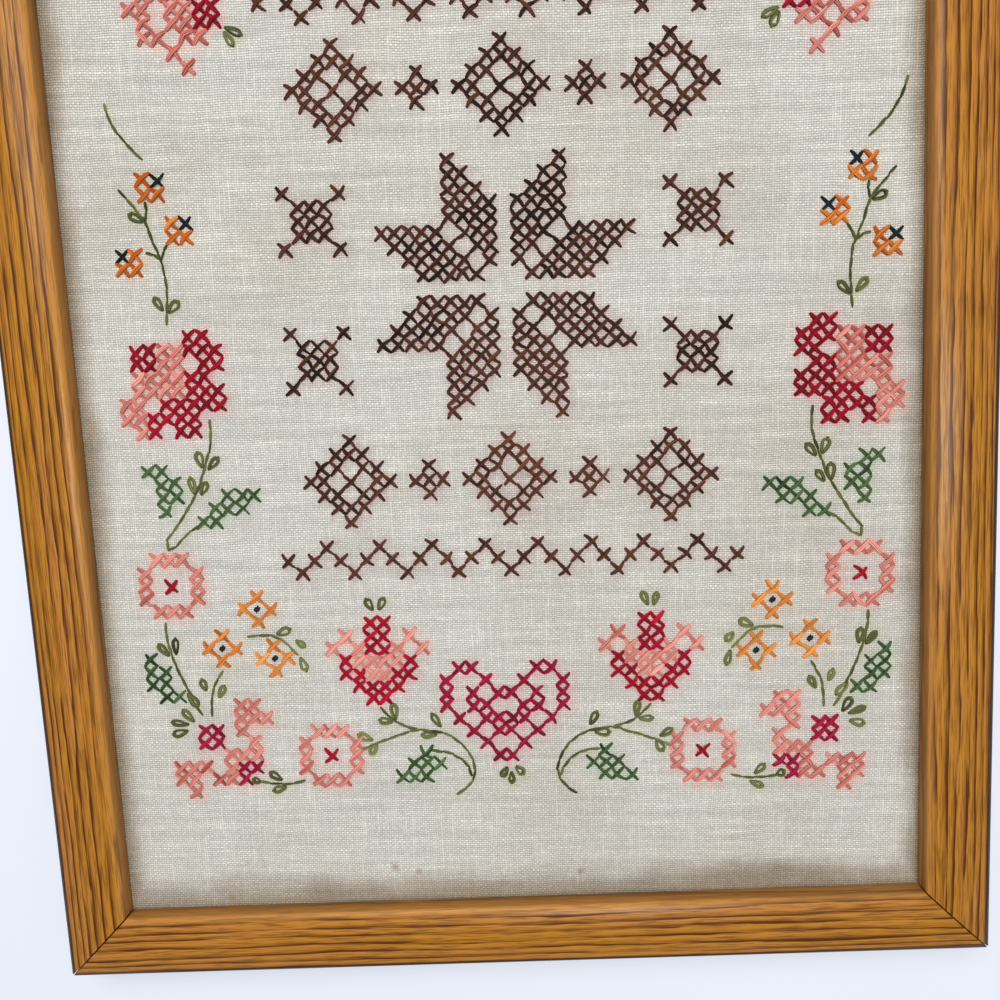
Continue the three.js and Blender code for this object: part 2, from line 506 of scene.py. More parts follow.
def dress(piece: Object, material: Material, slot: str, *nodes: str) -> None:
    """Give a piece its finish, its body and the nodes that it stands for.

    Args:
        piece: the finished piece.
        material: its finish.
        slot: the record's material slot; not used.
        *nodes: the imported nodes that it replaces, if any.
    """
    piece.data.materials.append(material)
    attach(piece, ROOT)
    if nodes:
        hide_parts(*nodes)
    LOG.info("%s: %d faces", piece.name, len(piece.data.polygons))


@dataclass(frozen=True)
class Moulding:
    """The oak moulding's section, mm, from the outer side (across 0) to the sight edge."""

    width: float = 19.05
    rabbet: float = 7.0
    lip_underside: float = 10.8
    inner_arris: float = 14.7
    crest: float = 15.9
    shoulder: float = 13.7
    outer_arris: float = 10.4
    inset: float = 3.0
    slope: float = 0.4
    crest_run: float = 0.45
    shoulder_run: float = 0.3
    mitre_gap: float = 0.3
    # Steps of the three curves of the face
    steps: tuple = (10, 28, 12)

    @staticmethod
    def curve(controls: list, steps: int) -> list:
        """Points of a Bezier curve after its first one.

        Args:
            controls: three or four control points.
            steps: how many points.

        Returns:
            The points, ending on the last control point.
        """
        order = len(controls) - 1
        points = []
        for i in range(1, steps + 1):
            t = i / steps
            weights = [math.comb(order, k) * t**k * (1 - t) ** (order - k) for k in range(order + 1)]
            points.append(tuple(sum(w * c[axis] for w, c in zip(weights, controls)) for axis in (0, 1)))
        return points

    def outline(self) -> list:
        """The closed section as (across, up) points."""
        width, inset, crest, shoulder = self.width, self.inset, self.crest, self.shoulder
        crest_at, ledge = width - inset, width - self.rabbet
        run = crest_at - inset
        rise = self.shoulder_run * run
        points = [(0, 0), (ledge, 0), (ledge, self.lip_underside), (width, self.lip_underside),
                  (width, self.inner_arris)]
        face = (((width, crest), (crest_at, crest)),
                ((crest_at - self.crest_run * run, crest), (inset + rise, shoulder + rise * self.slope),
                 (inset, shoulder)),
                ((0, shoulder - inset * self.slope), (0, self.outer_arris)))
        for controls, steps in zip(face, self.steps):
            points += self.curve([points[-1], *controls], steps)
        return points


@dataclass
class OakFrame:
    """Four mitred rails of one moulding."""

    moulding: Moulding = Moulding()
    arris_mm: float = 0.25
    # Where in the log the first rail was cut, and how far on the next, mm
    slice_mm: tuple = (31.0, 17.0)
    # The mitres' edges are eased where they are sharper than this
    ease_angle: float = math.radians(40)

    def rail(self, name: str, length: float, reach: float, turn: float) -> Object:
        """Model one rail: a section drawn, pulled out to its length and sawn at both ends.

        Args:
            name: the piece's name.
            length: outer length, mm.
            reach: from the frame's middle to the rail's outer side, mm.
            turn: 0 for the bottom rail, then quarter turns, in radians.

        Returns:
            The rail in its place.
        """
        outline = self.moulding.outline()
        bpy.ops.mesh.primitive_circle_add(vertices=len(outline), radius=MM)
        rail = start_piece(name)
        for vertex, (across, up) in zip(rail.data.vertices, outline):
            vertex.co = (-length / 2 * MM, across * MM, up * MM)
        bpy.ops.object.mode_set(mode="EDIT")
        bpy.ops.mesh.select_all(action="SELECT")
        bpy.ops.mesh.edge_face_add()
        bpy.ops.mesh.extrude_region_move(TRANSFORM_OT_translate={"value": (length * MM, 0, 0)})
        relief = self.moulding.mitre_gap * math.sqrt(0.5)
        for side in (-1, 1):
            bpy.ops.mesh.select_all(action="SELECT")
            bpy.ops.mesh.bisect(plane_co=(side * (length / 2 - relief) * MM, 0, 0),
                                plane_no=(side, 1, 0), use_fill=True, clear_outer=True)
        bpy.ops.mesh.select_all(action="SELECT")
        bpy.ops.mesh.normals_make_consistent(inside=False)
        bpy.ops.object.mode_set(mode="OBJECT")
        rail.data.transform(Matrix.Rotation(turn, 4, "Z") @ Matrix.Translation((0, -reach * MM, 0)))
        apply_modifier(rail, "BEVEL", width=self.arris_mm * MM, segments=2, limit_method="ANGLE",
                       angle_limit=self.ease_angle)
        bpy.ops.object.shade_smooth_by_angle(angle=SMOOTH_ANGLE)
        return rail

    def build(self) -> None:
        """Build and dress the four rails."""
        low, high = CAD_BOX
        sizes = [(high[i] - low[i]) / MM for i in (0, 1)]
        first, step = self.slice_mm
        for quarter, side in enumerate(("bottom", "right", "top", "left")):
            turn = quarter * math.pi / 2
            length, span = sizes[quarter % 2], sizes[1 - quarter % 2]
            rail = self.rail("oak_rail_" + side, length, span / 2, turn)
            finish = Oak().build("varnished_red_oak_" + side, turn, first + step * quarter)
            dress(rail, finish, "oak", "rail_" + side)


@dataclass(frozen=True)
class Crease:
    """A soft ridge in the linen, or a trough where its height is below zero. Mm and degrees."""

    x: float
    y: float
    length: float
    width: float
    turn: float
    height: float


CREASES = tuple(Crease(*row) for row in (
    (5, 38, 26, 3.4, -19, 0.42), (42, 43, 30, 3.8, 31, 0.32), (18, -21, 50, 3.8, -3, 0.32),
    (-20, 8, 32, 4.6, -16, 0.34), (49, -62, 40, 3.6, -1, 0.32), (-1, -65, 75, 3.8, -1, -0.26),
    (-73, 55, 50, 4.0, -44, 0.36), (-60, 48, 38, 4.0, -52, -0.2), (-23, 45, 26, 3.6, -29, 0.28),
    (24, 6, 56, 3.8, -4, 0.26), (67, 63, 46, 4.2, -23, 0.28)))


def turned(x: np.ndarray, y: np.ndarray, turn: float) -> tuple[np.ndarray, np.ndarray]:
    """Places turned about the origin by an angle in radians."""
    cos, sin = math.cos(turn), math.sin(turn)
    return cos * x - sin * y, sin * x + cos * y


def run_along(path: np.ndarray) -> np.ndarray:
    """Distance along a path at each of its points."""
    return np.concatenate([[0], np.cumsum(np.linalg.norm(np.diff(path, axis=0), axis=1))])


@dataclass
class LinenSheet:
    """The stretched linen, 9 by 12 inches, creased and faintly cockled."""

    width: float = 228.6
    height: float = 304.8
    thickness: float = 1.0
    cell: float = 1.3
    fade: float = 12.0
    # Cockling: height of the ripples, and the wave length and direction of each
    cockle: float = 0.045
    ripples: tuple = ((17.0, 0.4), (23.0, 1.9), (11.0, 2.6), (31.0, 1.1))
    # The board presses the linen up against the lip
    rise: float = 0.24
    roll: float = 4.0
    # Cells past each edge of the tint's grid, how the bled dye and painted shade spread to the cells beside,
    # and the deepest tint
    margin: int = 4
    spread: tuple = (0.17, 0.66, 0.17)
    deepest: float = 0.6

    def level(self, x: np.ndarray, y: np.ndarray) -> np.ndarray:
        """Height of the linen's face at places in the frame, mm."""
        total = np.zeros_like(x, dtype=float)
        for crease in CREASES:
            along, across = turned(x - crease.x, y - crease.y, -math.radians(crease.turn))
            reach = (2 * along / crease.length) ** 2 + (2 * across / crease.width) ** 2
            total += crease.height * np.exp(-reach)
        for wave, turn in self.ripples:
            total += self.cockle * np.sin(math.tau * turned(x, y, -turn)[0] / wave)
        inside = np.minimum(SIGHT_HALF[0] - abs(x), SIGHT_HALF[1] - abs(y))
        share = np.clip(inside / self.fade, 0, 1)
        pressed = np.clip(1 - inside / self.roll, 0, 1)
        return LINEN_TOP + total * share * share * (3 - 2 * share) + self.rise * pressed * pressed

    def cells(self, x: np.ndarray, y: np.ndarray) -> tuple[np.ndarray, np.ndarray]:
        """Rows and columns of the dye's grid at places in the frame, mm."""
        return tuple(((place + side / 2) / self.cell + self.margin).astype(int)
                     for place, side in ((y, self.height), (x, self.width)))

    def tint_bleed_and_shade(self, mesh: Mesh, x: np.ndarray, y: np.ndarray, marks: np.ndarray) -> None:
        """Tint the linen round the stitches, where floss has bled and shadow gathers.

        Args:
            mesh: the sheet's mesh.
            x: its points, mm.
            y: its points, mm.
            marks: rows of x, y, red, green, blue, amount.
        """
        counts = (round(side / self.cell) + 2 * self.margin for side in (self.height, self.width))
        layers = np.zeros((*counts, 4))
        np.add.at(layers, self.cells(marks[:, 0], marks[:, 1]),
                  np.column_stack([marks[:, 2:5] * marks[:, 5:6], marks[:, 5]]))
        for axis in (0, 1):
            layers = sum(share * np.roll(layers, i - 1, axis) for i, share in enumerate(self.spread))
        found = layers[self.cells(x, y)]
        amount = found[:, 3:4]
        tint = np.hstack([found[:, :3] / np.maximum(amount, 1e-6), np.clip(amount, 0, self.deepest)])
        layer = mesh.color_attributes.new("bleed_and_shade", "FLOAT_COLOR", "POINT")
        layer.data.foreach_set("color", tint.astype(np.float32).ravel())

    def build(self, marks: np.ndarray, board: Object, stitches: list) -> None:
        """Args:
            marks: where floss dye and painted shade tint the linen, as for tint_bleed_and_shade.
            board: the board that it is stretched over; not used.
            stitches: the pieces worked into it; not used.
        """
        bpy.ops.mesh.primitive_grid_add(x_subdivisions=round(self.width / self.cell),
                                        y_subdivisions=round(self.height / self.cell), size=1)
        sheet = start_piece("linen_sheet")
        points = np.empty(len(sheet.data.vertices) * 3)
        sheet.data.vertices.foreach_get("co", points)
        points = points.reshape(-1, 3) * (self.width, self.height, 0)
        points[:, 2] = self.level(points[:, 0], points[:, 1])
        self.tint_bleed_and_shade(sheet.data, points[:, 0], points[:, 1], marks)
        sheet.data.vertices.foreach_set("co", (points * MM).ravel())
        apply_modifier(sheet, "SOLIDIFY", thickness=self.thickness * MM, offset=-1)
        bpy.ops.object.shade_smooth_by_angle(angle=SMOOTH_ANGLE)
        dress(sheet, Linen().build(), "linen", "linen")


@dataclass
class BackingBoard:
    """The plain board behind the linen, guillotined, with slightly crushed edges."""

    crush_mm: float = 0.4

    def build(self) -> Object:
        """Build and dress the board in its node's place.

        Returns:
            The board.
        """
        low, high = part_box("backing_board")
        bpy.ops.mesh.primitive_cube_add(size=1)
        board = start_piece("pulp_board")
        middle, size = (low + high) / 2, high - low
        board.data.transform(Matrix.Translation(middle) @ Matrix.Diagonal((*size, 1)))
        apply_modifier(board, "BEVEL", width=self.crush_mm * MM, segments=3)
        bpy.ops.object.shade_smooth_by_angle(angle=SMOOTH_ANGLE)
        dress(board, Greyboard().build(), "board", "backing_board")
        return board


# Letters of the charts
LETTERS = {"C": Floss.CRIMSON, "R": Floss.RASPBERRY, "P": Floss.PINK, "O": Floss.ORANGE,
           "K": Floss.BLACK, "G": Floss.GREEN}

RING = (".PPP.", "P...P", "P.C.P", "P...P", ".PPP.")
STAR_FLOWER = (".O.", "O.O", ".O.")
BUD = ("OK", "OO")
LOW_BUD = ("KO", "OO")
BERRY = ("RR", "RR")
ROSE = (".....CC.", ".CCPPCCC", ".CCPP.CC", ".PPPPCC.", ".PPPPCCC", "PP.CCCCC", "PPCCCC..", ".PC.CC..")
TOP_FLOWER = ("...CC..", "..PCCC.", ".PPPCCC", "PP.PPCC", ".P.PPCC", ".PP.PP.", "...P...", "....P..")
CORNER_FLOWER = (".....PP.", ".....PPP", ".....P..", "......P.", "....PPP.", "PPP.PRR.", "PP.PPR..",
                 ".P......")
TULIP = ("...CC...", ".P.CC.P.", "P.PCCP.P", ".CPPPPC.", ".CCPPCC.", "..CCCC..", "...CC...")
HEART = (".RR....RR.", "R..R..R..R", "R.R.RR.R.R", "R.RR..RR.R", ".R.RRRR.R.", "..R.RR.R..", "...R..R...",
         "....RR....")
LEAF_DOWN = ("GG.", ".GG", ".GG", ".G.")
LEAF_UP = ("..GGG", ".GGG.", "GG...")
LEAF_SIDE = ("G..", "GG.", "GG.", ".GG")
LEAF_LOW = ("..G.", ".GGG", "GGG.")


@dataclass(frozen=True)
class Motif:
    """A chart and its middle on the left half of the design, mm. Most are worked again on the right."""

    chart: tuple
    x: float
    y: float
    mirrored: bool = True


BORDER = tuple(Motif(*row) for row in (
    (TOP_FLOWER, -80.5, 100.7), (RING, -44.0, 121.5), (STAR_FLOWER, -62.5, 122.0),
    (STAR_FLOWER, 0.0, 121.5, False), (BUD, -88.8, 60.3), (BUD, -82.1, 49.7), (LOW_BUD, -95.5, 42.0),
    (ROSE, -86.7, 11.1), (LEAF_DOWN, -91.1, -16.4), (LEAF_UP, -73.9, -21.4), (RING, -90.6, -41.8),
    (LEAF_SIDE, -94.0, -67.0), (STAR_FLOWER, -68.0, -48.4), (STAR_FLOWER, -78.0, -59.0),
    (STAR_FLOWER, -64.0, -62.0), (BERRY, -82.4, -83.6), (CORNER_FLOWER, -79.2, -87.0),
    (RING, -50.1, -89.3), (TULIP, -36.3, -63.2), (LEAF_LOW, -25.8, -92.0), (HEART, -2.6, -77.6, False)))

# Stems, each worked through given points of the left half, mm
STEMS = (
    ((-70, 113), (-66, 116), (-58, 116.5), (-53, 118.5)),
    ((-35, 121), (-27, 125), (-18, 123), (-7, 120)),
    ((-99, 81), (-97.5, 76), (-94.5, 71.5), (-90, 67)),
    ((-97, 60), (-93, 55.5), (-90.5, 52), (-89.3, 47.5), (-87.2, 42.5), (-86.4, 38), (-86.3, 33), (-87, 26)),
    ((-90.3, 57), (-90.1, 54.5), (-90.5, 52)),
    ((-85.2, 46.6), (-86.4, 44.6), (-87.2, 42.5)),
    ((-91.2, 44.4), (-88.8, 43.8), (-87.2, 42.5)),
    ((-77.6, 2), (-77.3, -2), (-78, -6), (-79.8, -11), (-81.2, -15), (-84, -20), (-88, -26), (-91.2, -30),
     (-91, -32), (-89.6, -32.4), (-88, -30.6), (-84.4, -27), (-81.6, -25.4)),
    ((-93, -51.5), (-92.8, -56), (-92, -60), (-90.5, -64.5), (-88.5, -69.5), (-87, -72.5)),
    ((-88.4, -71.5), (-86.5, -74.4), (-84.4, -77.6)),
    ((-71.2, -56), (-67, -55.3), (-64, -55.7), (-61.5, -57), (-59.4, -59.2), (-57.4, -61.4)),
    ((-78.2, -65), (-80, -67.6), (-81.2, -70.2), (-81.8, -74), (-82, -78)),
    ((-70.4, -96.4), (-66, -97.1), (-60, -97), (-57.4, -96)),
    ((-42.2, -88), (-38, -86.2), (-34, -84.8), (-30, -83.4), (-26.5, -82.3), (-22.5, -82.8), (-18.5, -83.8),
     (-15, -86), (-12.5, -89.2), (-11.2, -93), (-11.2, -95.5), (-12.8, -98.4), (-16.5, -101)),
    ((-12, -96), (-13, -92.6), (-15.5, -90.2), (-19, -88.8), (-23, -88.2)),
    ((-26.5, -82.3), (-29.6, -81.4), (-33, -79.6), (-36.4, -76)))


@dataclass(frozen=True)
class LoopLeaf:
    """A detached chain leaf: the place of its root, mm, where it points, degrees, and its length."""

    x: float
    y: float
    turn: float
    length: float = 4.6


LEAVES = tuple(LoopLeaf(*row) for row in (
    (-68, 97.8, -28, 5.4), (-68, 97, -62, 4.8), (-66, 116, 65), (-60, 116, -60), (-29, 124.5, 80),
    (-22, 124.5, -70), (-14, 121.5, 60), (-90.8, 51.8, 150), (-87.4, 29.5, 122, 4.8), (-86.6, 29, 42, 4.8),
    (-80, -11, 106, 5.0), (-79, -11.4, 46, 4.9), (-82.6, -18, 94, 5.2), (-81.2, -18, 56, 4.4),
    (-92.2, -61.2, 130, 5.0), (-90.6, -61, 92, 5.0), (-88.6, -70.8, -50, 5.0), (-86.6, -79.6, 122, 5.0),
    (-88, -80, 163, 5.4), (-88.4, -81.6, 190, 4.8), (-63.6, -55.6, 20), (-58.4, -56.9, -32, 3.6),
    (-57.4, -61.4, -66), (-83, -71, 102, 3.8), (-80, -73, 60, 4.4), (-63.6, -96.4, 142, 4.4),
    (-62.4, -98, 203), (-69.6, -96.6, 155, 2.8), (-38.2, -85.4, 154, 4.7), (-37.4, -86, 234, 4.0),
    (-19.8, -82.2, 123, 5.0), (-20.8, -83.8, 184), (-32.2, -80, 100, 4.9), (-32.6, -80.2, 180),
    (-36.9, -49.8, 118, 4.4), (-35.8, -49.8, 62)))
# The three leaves under the heart aren't worked twice
HEART_LEAVES = tuple(LoopLeaf(*row) for row in (
    (-2.2, -93.0, 238, 3.6), (-1.4, -94.3, 270, 3.8), (-0.4, -92.9, 312, 3.6)))


@dataclass
class GeometricPanel:
    """The brown middle: an eight-pointed star between rows of diamonds and zigzags, in crosses."""

    half_width: int = 17
    middle_y: float = 33.5
    # Rows out from the middle one: the star's last, the diamonds' middle and the zigzag's first
    star_end: int = 9
    diamond_row: int = 14
    zigzag_row: int = 19
    # Columns out from the middle one: two diamonds and the plus sign between, and a saltire's place
    diamonds: tuple = (0, 12)
    plus: int = 6
    saltire: tuple = (14, 5)

    def worked(self, column: int, row: int) -> bool:
        """Whether a cell counted from the panel's middle has a cross.

        Args:
            column: the cell's column.
            row: its row.

        Returns:
            True where there is one.
        """
        x, y = abs(column), abs(row)
        if y <= self.star_end:
            near, far = sorted((x, y))
            dx, dy = abs(x - self.saltire[0]), abs(y - self.saltire[1])
            petal = 1 <= near <= 4 and near < far <= near + 5
            return petal or (max(dx, dy) <= 2 and (dx == dy or dx + dy == 1))
        off = abs(y - self.diamond_row)
        if off <= 3:
            ring = min(abs(x - middle) for middle in self.diamonds) + off
            return ring in (0, 2, 3) or abs(x - self.plus) + off <= 1
        return abs(x % 4 - 2) == y - self.zigzag_row

    def cells(self) -> list:
        """The worked cells as (column, row)."""
        last = self.zigzag_row + 2
        return [(column, row) for column in range(-self.half_width, self.half_width + 1)
                for row in range(-last, last + 1) if self.worked(column, row)]


class ThreadMesh:
    """Gathers the strands of one skein into one mesh."""

    SIDES = 6
    BLEED_AND_SHADE_SHARE = 0.45
    # A cross's two arms and a straight stitch: places along each, and the lift over the linen there, mm
    ARM = np.array([-1.0, -0.92, -0.5, 0.0, 0.5, 0.92, 1.0])
    ARM_LIFTS = np.array([[-0.35, 0.1, 0.24, 0.2, 0.24, 0.1, -0.35],
                          [-0.35, 0.12, 0.36, 0.6, 0.36, 0.12, -0.35]])
    # Painted shade: the arm laid first is darker, under the arm laid over it
    ARM_SHADES = (0.86, 1.04)
    STITCH = np.array([0.0, 0.08, 0.35, 0.65, 0.92, 1.0])
    STITCH_LIFT = np.array([-0.25, 0.1, 0.24, 0.24, 0.1, -0.25])
    # How far along a thread its strands fan out, and how flat the thread and each strand are pressed
    FAN_SHARE = 0.35
    THREAD_FLAT = 0.4
    STRAND_FLAT = 0.85
    # A strand's thickness at its ends and what each mm adds to it, and its painted shade at its ends, where
    # it dives into the cloth
    TAPER = (0.5, 0.7)
    DIVE_SHADE = 0.5
    # How unsteady the hand is: a cross's ends, its arms' bow and a stem's stitches, mm, and a leaf's turn
    CROSS_STRAY = 0.13
    BOW_STRAY = 0.19
    STEM_STRAY = 0.09
    LEAF_STRAY = 5
    # Crosses worked the usual way about, and how far their arms run past the holes
    USUAL_SHARE = 0.92
    OVERRUN = 1.04
    # How unlike threads and strands are: in brightness, thickness, twist and tone
    SHADE_RANGE = (0.88, 1.1)
    GIRTH_RANGE = (0.92, 1.08)
    TWIST_RANGE = (0.05, 0.3)
    PHASE_RANGE = (-0.4, 0.4)
    THREAD_TONE = 0.14
    STRAND_TONE = 0.17
    # Points between two places of a stem, and the thickness of its stitches
    CURVE_STEPS = 12
    STEM_FILLS = (0.78, 1.0)
    # A loop leaf: its points, roundness, length and half width, and how thick and high it lies
    LOOP_STEPS = 15
    LOOP_ROUND = 0.8
    LOOP_LENGTHS = (0.94, 1.06)
    LOOP_WIDTHS = (0.6, 0.95)
    LOOP_FILL = 1.2
    LOOP_LIFT = 0.22
    LOOP_DIVE = -0.3
    # The stitch that ties it: where it starts and ends from the loop's tip, mm
    TIE = np.array([-0.5, 0.6])

    def __init__(self, floss: Floss, sheet: LinenSheet, random: np.random.Generator) -> None:
        """Start an empty skein that will lie on a sheet."""
        self.floss, self.sheet, self.random = floss, sheet, random
        self.points, self.faces, self.uvs, self.shades, self.lots = [], [], [], [], []
        self.count = 0
        self.places = []

    def strand(self, path: np.ndarray, turn: np.ndarray, radius: float, spread: float, shade: float,
               lot: float) -> None:
        """Add one strand along a path, beside its middle line.

        Args:
            path: points in the frame, mm.
            turn: where round the thread the strand lies at each point, radians.
            radius: the strand's radius, mm.
            spread: how far it lies from the thread's middle at half way, mm.
            shade: its brightness.
            lot: its tone between the skein's darkest and lightest.
        """
        tangent = np.gradient(path, axis=0)
        tangent /= np.linalg.norm(tangent, axis=1, keepdims=True)
        side = np.cross((0, 0, 1), tangent)
        side /= np.maximum(np.linalg.norm(side, axis=1, keepdims=True), 1e-6)
        up = np.cross(tangent, side)
        run = run_along(path)
        inward = np.minimum(run, run[-1] - run)
        fan = self.floss.value.fan
        offset = spread * np.clip(fan + (1 - fan) * inward / (self.FAN_SHARE * run[-1]), 0, 1)
        middle = (path + (offset * np.cos(turn))[:, None] * side
                  + (self.THREAD_FLAT * offset * np.sin(turn))[:, None] * up)
        taper = (radius * np.clip(self.TAPER[0] + self.TAPER[1] * inward, 0, 1))[:, None]
        angles = math.tau * np.arange(self.SIDES) / self.SIDES
        ring = np.stack([middle + taper * (math.cos(a) * side + self.STRAND_FLAT * math.sin(a) * up)
                         for a in angles], 1)
        self.points.append(ring.reshape(-1, 3))
        steps, sides, first = len(path), self.SIDES, self.count
        for k in range(steps - 1):
            a, b = first + k * sides, first + (k + 1) * sides
            for j in range(sides):
                n = (j + 1) % sides
                self.faces.append((a + j, a + n, b + n, b + j))
                low, high = j / sides, (j + 1) / sides
                self.uvs += [(low, run[k]), (high, run[k]), (high, run[k + 1]), (low, run[k + 1])]
        for start, order in ((first, range(sides - 1, -1, -1)), (first + (steps - 1) * sides, range(sides))):
            self.faces.append(tuple(start + j for j in order))
            self.uvs += [(j / sides, 0.0) for j in order]
        # Painted shade: darker where the strand dives into the cloth
        self.shades.append(np.repeat(shade * np.clip(self.DIVE_SHADE + inward, 0, 1), sides))
        self.lots.append(np.full(steps * sides, lot))
        self.count += steps * sides

    def thread(self, x: np.ndarray, y: np.ndarray, lift: np.ndarray, fill: float = 1.0,
               shade: float = 1.0) -> None:
        """Lay a thread of the skein's strands over the linen.

        Args:
            x: its middle line on the design, mm.
            y: its middle line on the design, mm.
            lift: its height over the linen, mm.
            fill: its thickness as a share of the skein's own.
            shade: its brightness.
        """
        skein = self.floss.value
        place = np.column_stack(turned(x, y, DESIGN_TURN)) + DESIGN_ORIGIN
        path = np.column_stack([place, self.sheet.level(*place.T) + lift])
        sweep = np.linspace(0, run_along(path)[-1] * self.random.uniform(*self.TWIST_RANGE), len(path))
        phase = self.random.uniform(*self.PHASE_RANGE)
        # One length of floss serves a patch of stitches, so its tone drifts over the cloth
        drift = 0.42 + 0.22 * math.sin(x[0] / 17 + 1.3) * math.cos(y[0] / 23) - 0.16 * math.sin(y[0] / 31)
        lot = drift + self.random.normal(0, self.THREAD_TONE)
        shade *= self.random.uniform(*self.SHADE_RANGE)
        for number in range(skein.strands):
            turn = sweep + phase + math.pi * number / max(1, skein.strands - 1)
            self.strand(path, turn, fill * skein.radius * self.random.uniform(*self.GIRTH_RANGE),
                        fill * skein.spread, shade * self.random.uniform(*self.SHADE_RANGE),
                        min(1.0, max(0.0, lot + self.random.normal(0, self.STRAND_TONE))))
        self.places.append(place)

    def cross(self, x: float, y: float) -> None:
        """Work one cross: an arm laid first and one over it.

        Args:
            x: its middle on the design, mm.
            y: its middle on the design, mm.
        """
        t = self.ARM
        slants = (-1, 1) if self.random.random() < self.USUAL_SHARE else (1, -1)
        for slant, lift, shade in zip(slants, self.ARM_LIFTS, self.ARM_SHADES):
            corners = CROSS_PITCH / 2 * np.array([1, slant, 1, slant]) * self.OVERRUN
            ends = self.random.normal(0, self.CROSS_STRAY, 4) + corners
            bow = self.random.normal(0, self.BOW_STRAY) * (1 - t * t)
            wide = np.where(t < 0, ends[0], ends[2]) * t + bow
            tall = np.where(t < 0, ends[1], ends[3]) * t - slant * bow
            self.thread(x + wide, y + tall, lift, shade=shade)

    def straight(self, start: np.ndarray, end: np.ndarray, fill: float = 1.0) -> None:
        """Work one straight stitch between two places on the design."""
        x, y = (start[i] + self.STITCH * (end[i] - start[i]) for i in (0, 1))
        self.thread(x, y, self.STITCH_LIFT, fill)

    def stem(self, points: tuple, flip: float, stitch_mm: float = 3.0, lap_mm: float = 0.4) -> None:
        """Work a stem in lapping stitches along a smooth curve.

        Args:
            points: the places that it runs through.
            flip: 1 on the left half, -1 on the right.
            stitch_mm: length of a stitch.
            lap_mm: how far each stitch runs back over the last one.
        """
        knots = np.array(points, dtype=float) * (flip, 1)
        padded = np.vstack([2 * knots[0] - knots[1], knots, 2 * knots[-1] - knots[-2]])
        fine = []
        for a, b, c, d in zip(padded, padded[1:], padded[2:], padded[3:]):
            for t in np.linspace(0, 1, self.CURVE_STEPS, endpoint=False):
                fine.append(0.5 * (2 * b + (c - a) * t + (2 * a - 5 * b + 4 * c - d) * t**2
                                   + (3 * b - a - 3 * c + d) * t**3))
        line = np.array(fine + [knots[-1]])
        run = run_along(line)
        count = max(1, round(run[-1] / stitch_mm))
        marks = np.linspace(0, run[-1], count + 1)
        for low, high in zip(marks, marks[1:]):
            low = max(0, low - lap_mm)
            ends = [np.array([np.interp(s, run, line[:, i]) for i in (0, 1)]) for s in (low, high)]
            jitter = self.random.normal(0, self.STEM_STRAY, (2, 2))
            self.straight(ends[0] + jitter[0], ends[1] + jitter[1], self.random.uniform(*self.STEM_FILLS))

    def leaf(self, leaf: LoopLeaf, flip: float) -> None:
        """Work a loop leaf and the small stitch that ties its tip.

        Args:
            leaf: the leaf.
            flip: 1 on the left half, -1 on the right.
        """
        turn = math.radians(leaf.turn + self.random.normal(0, self.LEAF_STRAY))
        length = (leaf.length + self.TIE[0]) * self.random.uniform(*self.LOOP_LENGTHS)
        s = np.linspace(0.0, 1.0, self.LOOP_STEPS)
        along = length * np.sin(math.pi * s) ** self.LOOP_ROUND
        across = self.random.uniform(*self.LOOP_WIDTHS) * np.sin(math.tau * s)
        lift = self.LOOP_LIFT * np.ones_like(s)
        lift[0] = lift[-1] = self.LOOP_DIVE
        x, y = turned(along, across, turn)
        self.thread(flip * (leaf.x + x), leaf.y + y, lift, self.LOOP_FILL)
        tip = length + self.TIE
        x, y = turned(tip, 0 * tip, turn)
        self.straight(*np.column_stack([flip * (leaf.x + x), leaf.y + y]))

    def build(self, name: str) -> Object:
        """Join the strands into one piece and dress it.

        Args:
            name: the piece's name.

        Returns:
            The piece.
        """
        mesh = bpy.data.meshes.new(name)
        mesh.from_pydata((np.vstack(self.points) * MM).tolist(), [], self.faces)
        layer = mesh.uv_layers.new(name="strand")
        layer.data.foreach_set("uv", np.array(self.uvs, dtype=np.float32).ravel())
        for key, values in (("shade", self.shades), ("lot", self.lots)):
            mesh.attributes.new(key, "FLOAT", "POINT").data.foreach_set("value", np.concatenate(values))
        mesh.shade_smooth()
        piece = bpy.data.objects.new(name, mesh)
        bpy.context.scene.collection.objects.link(piece)
        dress(piece, StrandedCotton().build(self.floss), "linen")
        return piece

    def tint(self) -> np.ndarray:
        """Rows of x, y, red, green, blue, amount for the linen's tint."""
        places = np.vstack(self.places)
        colour = np.array(linear(self.floss.value.run)[:3])
        amount = np.full(len(places), self.floss.value.bleed_and_shade * self.BLEED_AND_SHADE_SHARE)
        return np.column_stack([places, np.tile(colour, (len(places), 1)), amount])


